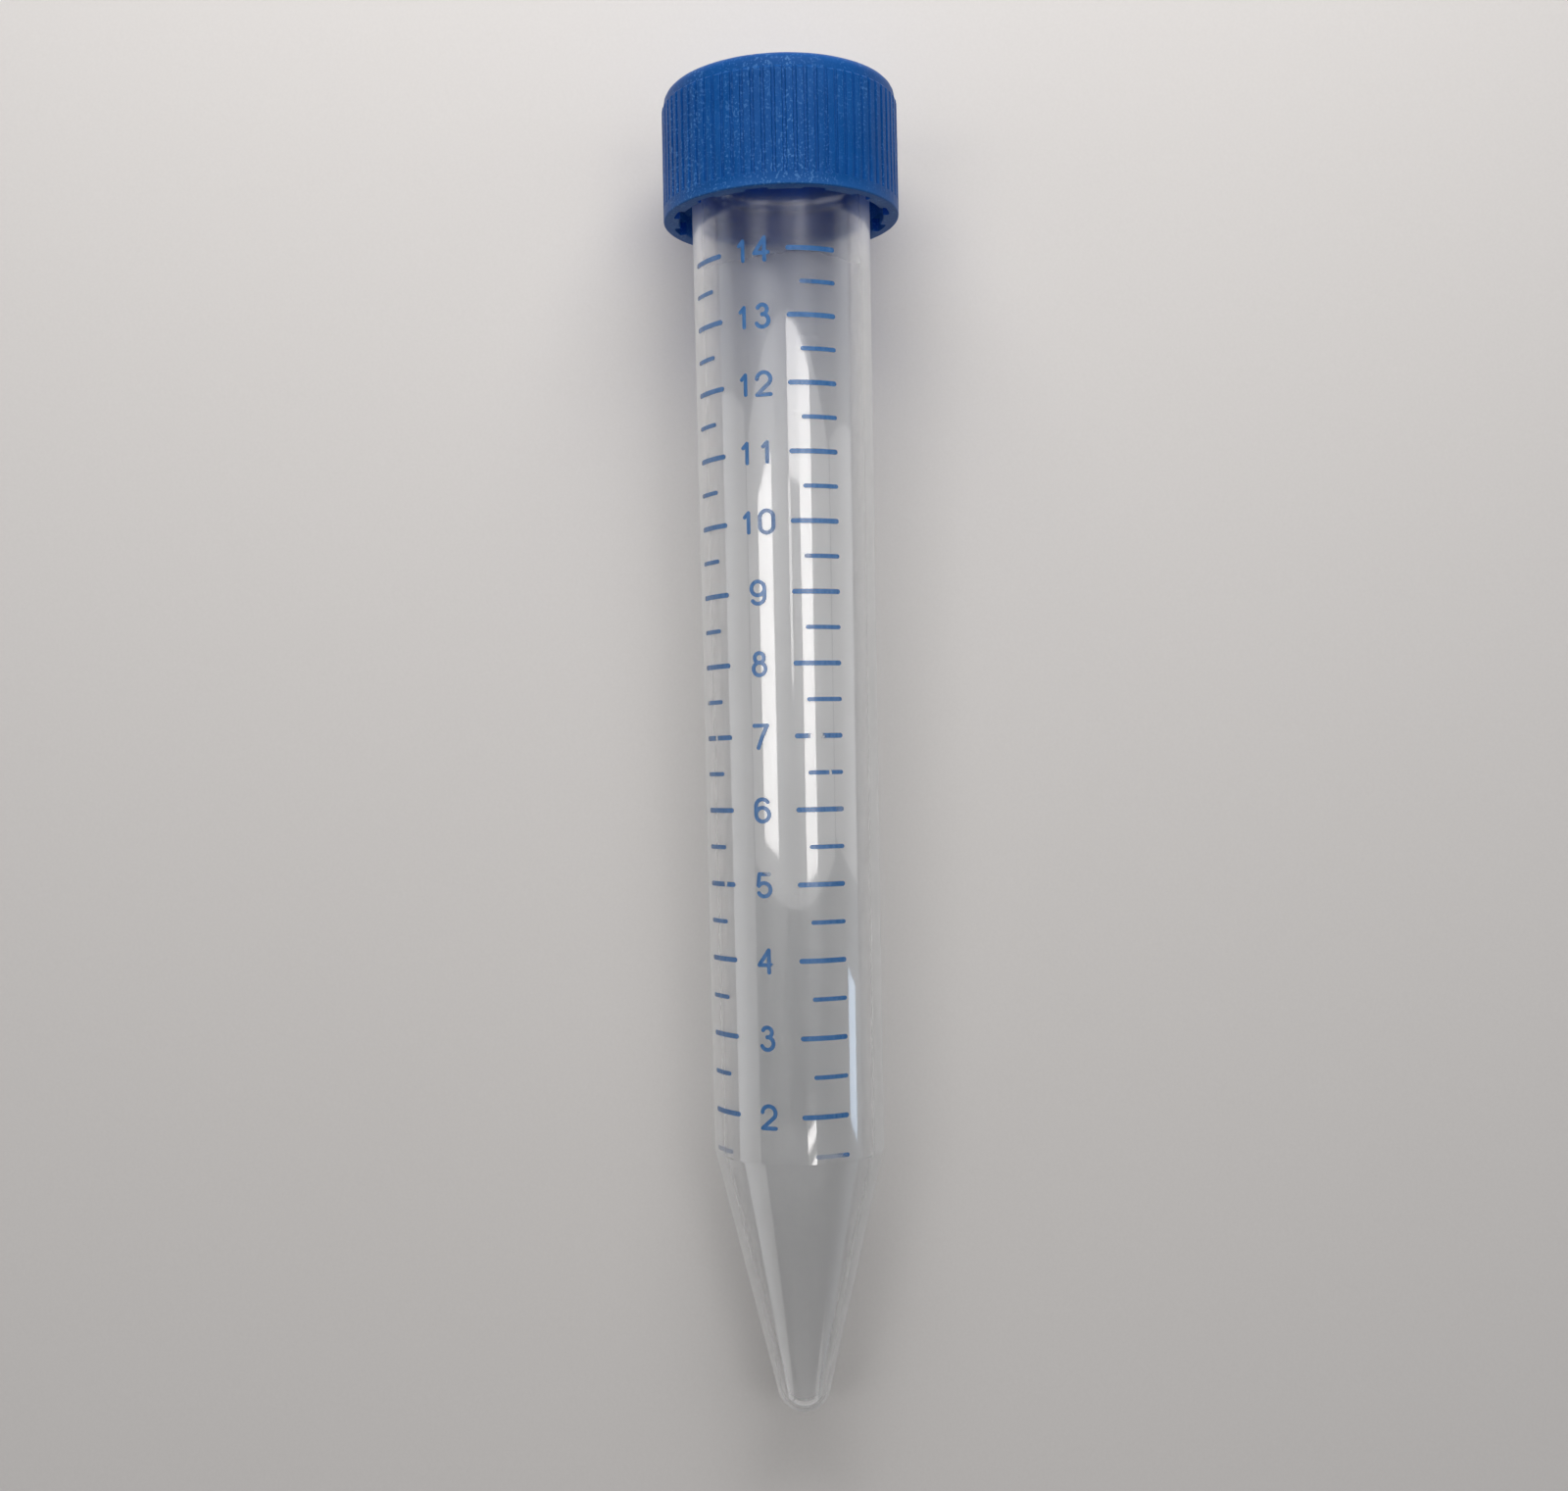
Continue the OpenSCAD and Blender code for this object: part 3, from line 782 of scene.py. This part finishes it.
# %% A worn place, as a mask
worn_place = bpy.data.node_groups.new("worn_place", "ShaderNodeTree")
new_tree(worn_place, [
    ("Point", "NodeSocketVector", (0, 0, 0)),
    ("Centre", "NodeSocketVector", (0, 0, 0)),
    ("Size", "NodeSocketVector", (1, 1, 1)),
    ("Loss", "NodeSocketFloat", 1.0),
], [("Mask", "NodeSocketFloat")])
place_in = add(worn_place, "NodeGroupInput", (0, 0))
off = add(worn_place, "ShaderNodeVectorMath", (1, 0),
          {0: place_in.outputs["Point"], 1: place_in.outputs["Centre"]}, operation="SUBTRACT")
shrunk = add(worn_place, "ShaderNodeVectorMath", (2, 0),
             {0: off.outputs[0], 1: place_in.outputs["Size"]}, operation="DIVIDE")
distance = add(worn_place, "ShaderNodeVectorMath", (3, 0),
               {0: shrunk.outputs[0]}, operation="LENGTH")
ragged = add(worn_place, "ShaderNodeTexNoise", (3, 2), {
    "Vector": place_in.outputs["Point"], "Scale": 5.0, "Detail": 2.0})
edge = math_node(worn_place, (4, 0), "MULTIPLY_ADD", ragged.outputs["Fac"], 0.5)
worn_place.links.new(distance.outputs["Value"], edge.node.inputs[2])
inside = ramp(worn_place, (5, 0), edge, [(0.62, 1.0), (0.86, 0.0)])
add(worn_place, "NodeGroupOutput", (7, 0),
    {"Mask": math_node(worn_place, (6, 0), "MULTIPLY", inside, place_in.outputs["Loss"])})

# %% Where the ink is worn: degrees round the tube, millimetres from the tip, width, height, loss
WORN_INK = [
    (14.0, 61.54, 1.45, 0.9, 1.0),
    (22.8, 58.25, 0.3, 0.8, 1.0),
    (-59.3, 61.6, 0.4, 0.8, 1.0),
    (-52.9, 48.63, 0.45, 0.8, 1.0),
    (-64.9, 24.5, 5.0, 1.6, 0.75),
    (15.0, 24.4, 4.0, 1.6, 0.8),
    (9.5, 101.48, 1.9, 0.9, 0.4),
    (8.0, 77.36, 1.2, 0.9, 0.45),
    (-17.0, 92.4, 2.0, 1.6, 0.35),
    (-13.4, 86.9, 1.4, 2.6, 0.35),
    (-15.0, 80.4, 2.2, 2.6, 0.35),
    (-17.6, 49.7, 1.3, 0.7, 0.75),
    (-15.8, 41.3, 0.75, 0.9, 1.0),
    (-25.2, 35.4, 0.45, 0.5, 0.9),
    (-74.5, 64.86, 1.6, 0.9, 0.7),
    (29.6, 55.04, 1.0, 0.9, 0.35),
]

# %% The ink's material
INK_COVER = 0.84
INK_BLUE = (0.025, 0.12, 0.32, 1)
INK_PALE = (0.08, 0.2, 0.43, 1)
INK_COMB = (4.0, 4.0, 0.8)

ink, tree, shader = new_material("printed_ink", INK_BLUE, 0.25)
shader.inputs["Coat Weight"].default_value = 0.6
point = upright_point(tree, (-3, 2))
combed = add(tree, "ShaderNodeVectorMath", (-1, 2), {0: point, 1: INK_COMB},
             operation="MULTIPLY")
strength = add(tree, "ShaderNodeTexNoise", (0, 2), {
    "Vector": combed.outputs[0], "Scale": 1.2, "Detail": 3.0})
ink_colour = ramp(tree, (1, 2), strength.outputs["Fac"], [(0.35, INK_BLUE), (0.75, INK_PALE)])
tree.links.new(ink_colour, shader.inputs["Base Color"])
tree.links.new(grain_bump(tree, (0, 4), 0.12, 0.01, 0.6), shader.inputs["Normal"])
gone = 0.0
for i, (degrees, height, wide, high, loss) in enumerate(WORN_INK):
    angle = math.radians(degrees)
    climb = (height - SHOULDER_HEIGHT) / (TUBE_LENGTH - SHOULDER_HEIGHT)
    radius = SHOULDER_RADIUS + (MOUTH_RADIUS - SHOULDER_RADIUS) * climb
    centre = (radius * math.sin(angle), -radius * math.cos(angle), height)
    group = add(tree, "ShaderNodeGroup", (i % 4, 6 + i // 4 * 2), node_tree=worn_place)
    tree.links.new(point, group.inputs["Point"])
    group.inputs["Centre"].default_value = centre
    group.inputs["Size"].default_value = (wide, wide, high)
    group.inputs["Loss"].default_value = loss
    gone = math_node(tree, (i % 4, 7 + i // 4 * 2), "MAXIMUM", group.outputs["Mask"], gone)
left = math_node(tree, (5, 6), "SUBTRACT", 1.0, gone)
tree.links.new(math_node(tree, (6, 6), "MULTIPLY", left, INK_COVER), shader.inputs["Alpha"])
print("ink:", len(tree.nodes), "nodes,", len(WORN_INK), "worn places")
for name in ("scale_marks", "scale_numbers"):
    node = frame["nodes"][name]
    node.data.materials.clear()
    node.data.materials.append(ink)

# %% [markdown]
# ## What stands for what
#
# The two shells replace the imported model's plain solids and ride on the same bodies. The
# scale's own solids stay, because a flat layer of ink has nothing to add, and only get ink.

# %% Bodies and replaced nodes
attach(tube, "vessel")
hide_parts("tube")
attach(cap, "closure")
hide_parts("cap")

# %% [markdown]
# ## The paper floor
#
# The tube lies on a big sheet of pale paper. Its fibres show only as the faintest unevenness.
# Far from the tube the lamps don't reach, and the sheet would end in the dark, so it fades
# into a pale haze there. Only rays that show the background see the haze: those that go
# straight to the camera, and those that reach it by way of a mirror or clear plastic, which
# would otherwise show a darker room than the one behind them. Dull surfaces get no light
# from it, and it isn't sampled as a lamp.

# %% Which rays show the background
def background_rays(tree, at):
    """1 for a ray that shows the background: seen straight, in a mirror or through clear plastic"""
    rays = add(tree, "ShaderNodeLightPath", at).outputs
    mirrored = math_node(tree, (at[0] + 1, at[1]), "MAXIMUM",
                         rays["Is Camera Ray"], rays["Is Glossy Ray"])
    return math_node(tree, (at[0] + 2, at[1]), "MAXIMUM", mirrored, rays["Is Transmission Ray"])


# %% The sheet
PAPER = (0.56, 0.55, 0.545, 1)
PAPER_FIBRE = (0.545, 0.535, 0.53, 1)
HAZE_COLOUR = (0.95, 0.97, 1.0, 1)
HAZE_STARTS = 300.0
HAZE_FULL = 1100.0
HAZE = 0.5

bpy.ops.object.select_all(action="DESELECT")
bpy.ops.mesh.primitive_grid_add(x_subdivisions=8, y_subdivisions=8, size=4, location=(0, 0, 0))
paper = bpy.context.object
paper.name = "paper_floor"
paper_material, tree, shader = new_material("pale_paper", PAPER, 0.85)
fibres = add(tree, "ShaderNodeTexNoise", (0, 1), {
    "Vector": upright_point(tree, (-3, 1)), "Scale": 4.0, "Detail": 3.0})
tree.links.new(ramp(tree, (1, 1), fibres.outputs["Fac"], [(0.3, PAPER_FIBRE), (0.7, PAPER)]),
               shader.inputs["Base Color"])
away = add(tree, "ShaderNodeVectorMath", (0, 3), {0: upright_point(tree, (-3, 3))},
           operation="LENGTH")
haze = add(tree, "ShaderNodeMapRange", (1, 3), {
    "Value": away.outputs["Value"],
    "From Min": HAZE_STARTS, "From Max": HAZE_FULL, "To Max": HAZE})
seen = background_rays(tree, (-1, 5))
shader.inputs["Emission Color"].default_value = HAZE_COLOUR
tree.links.new(math_node(tree, (2, 4), "MULTIPLY", haze.outputs[0], seen),
               shader.inputs["Emission Strength"])
paper_material.cycles.emission_sampling = "NONE"
paper.data.materials.append(paper_material)

# %% [markdown]
# ## Light
#
# A glossy round tube shows every lamp as a streak, so the lamps stand where their streaks
# belong. Two big softboxes hang a metre up, one to each side, and make the two long streaks
# along the body. Two small panes beside the right one give its streak a wide top and a thin
# second line, and two narrow panes far down the tube show as short bright spots just above the
# cone. A long panel over the tube and three low ones round it fill it softly. A box behind the
# cap makes that end of the paper brighter. It is hidden from mirrors, because its streak would
# run the whole length of the tube. A small bluish window draws the cool line at the body's
# right edge, above the cone.

# %% The lamps
LAMP_WHITE = (1.0, 0.975, 0.955)
WINDOW_BLUE = (0.6, 0.78, 1.0)


def softbox(name, place, towards, size, brightness, colour, mirrored=True):
    """
    A rectangular lamp, hidden from the camera, and from mirrors too if it isn't mirrored.
    Its brightness is that of its face, where 1 is white.
    """
    lamp = bpy.data.lights.new(name, "AREA")
    lamp.shape = "RECTANGLE"
    lamp.size = size[0]
    lamp.size_y = size[1]
    lamp.energy = brightness * math.pi * size[0] * size[1]
    lamp.color = colour
    stand = bpy.data.objects.new(name, lamp)
    stand.location = place
    stand.rotation_euler = Vector(towards).to_track_quat("-Z", "Y").to_euler()
    stand.visible_camera = False
    stand.visible_glossy = mirrored
    bpy.context.scene.collection.objects.link(stand)


DOWN = (0, 0, -1)
softbox("left_streak_box", (-0.61, 0.0235, 1.0), DOWN, (0.44, 0.283), 3.45, LAMP_WHITE)
softbox("right_streak_box", (0.41, 0.05, 1.0), DOWN, (0.3, 0.37), 3.3, LAMP_WHITE)
softbox("right_pane_high", (0.14, 0.187, 1.0), DOWN, (0.24, 0.1), 2.6, LAMP_WHITE)
softbox("right_pane_edge", (0.02, 0.07, 1.0), DOWN, (0.05, 0.13), 2.2, LAMP_WHITE)
softbox("far_pane_low", (0.27, -0.322, 1.0), DOWN, (0.22, 0.014), 5.5, LAMP_WHITE)
softbox("far_pane_high", (0.27, -0.35, 1.0), DOWN, (0.22, 0.016), 5.5, LAMP_WHITE)
softbox("overhead_panel", (0, 0.021, 0.3), DOWN, (0.8, 0.15), 0.75, LAMP_WHITE)
softbox("end_box", (0, 0.2, 0.15), (0, -0.2, -0.15), (0.26, 0.16), 5.4, LAMP_WHITE,
        mirrored=False)
softbox("front_fill", (0.05, -0.36, 0.1), (0, 1, -0.1), (0.5, 0.14), 0.64, LAMP_WHITE)
softbox("left_wall", (-0.35, -0.2, 0.13), (1, 0, 0), (0.6, 0.24), 0.6, LAMP_WHITE)
softbox("right_wall", (0.35, 0.025, 0.13), (-1, 0, 0), (0.13, 0.24), 0.64, LAMP_WHITE)
softbox("right_window", (0.3, -0.086, 0.081), (-1, 0, 0), (0.042, 0.062), 2.6, WINDOW_BLUE)

# %% [markdown]
# ## Sky
#
# The world fills the shadows with very little light. On the rays that show the background it
# is pale near the horizon, like the wall of a studio, and gets dark overhead, where a ceiling
# would be. The two heights are the upward part of a direction, which is 0 at the horizon and
# 1 overhead. From above none of the sky is in the picture.

# %% The world
SKY_COLOUR = (0.93, 0.96, 1.0, 1)
SKY_FILL = 0.04
SKY_PALE = 0.55
SKY_PALE_TO = 0.1
SKY_DARK_FROM = 0.4

world = bpy.data.worlds.new("studio")
bpy.context.scene.world = world
world.use_nodes = True
world_tree = world.node_tree
sky = world_tree.nodes["Background"]
sky.inputs["Color"].default_value = SKY_COLOUR
direction = add(world_tree, "ShaderNodeTexCoord", (-6, 1)).outputs["Object"]
rise = add(world_tree, "ShaderNodeSeparateXYZ", (-5, 1), {0: direction}).outputs["Z"]
low_sky = add(world_tree, "ShaderNodeMapRange", (-4, 1), {
    "Value": rise, "From Min": SKY_DARK_FROM, "From Max": SKY_PALE_TO}).outputs[0]
pale = math_node(world_tree, (-2, 0), "MULTIPLY", low_sky, background_rays(world_tree, (-6, -1)))
sky_strength = add(world_tree, "ShaderNodeMapRange", (-1, 0), {
    "Value": pale, "To Min": SKY_FILL, "To Max": SKY_PALE})
world_tree.links.new(sky_strength.outputs[0], sky.inputs["Strength"])

# %% [markdown]
# ## Camera
#
# The camera hangs above the tube and looks almost straight down, tipped back a little and
# turned by a degree. The lens is shifted slightly, so that the tube stands where it should
# in the frame without turning the camera.

# %% The camera
CAMERA_PLACE = (-7.167 * MM, -7.662 * MM, 173.238 * MM)
CAMERA_TIP = 2.786
CAMERA_TURN = -1.11

camera_data = bpy.data.cameras.new("camera")
camera_data.lens = 41.03
camera_data.sensor_width = 36
camera_data.shift_x = 0.045
camera_data.clip_start = 0.01
camera = bpy.data.objects.new("camera", camera_data)
bpy.context.scene.collection.objects.link(camera)
camera.matrix_world = (
    Matrix.Translation(CAMERA_PLACE)
    @ Matrix.Rotation(math.radians(CAMERA_TIP), 4, "X")
    @ Matrix.Rotation(math.radians(CAMERA_TURN), 4, "Z"))
bpy.context.scene.camera = camera
bpy.context.scene.view_settings.view_transform = "Standard"

# %% [markdown]
# ## Finish
#
# The scene is brought up to date at the end.

# %% Finish
bpy.context.view_layer.update()
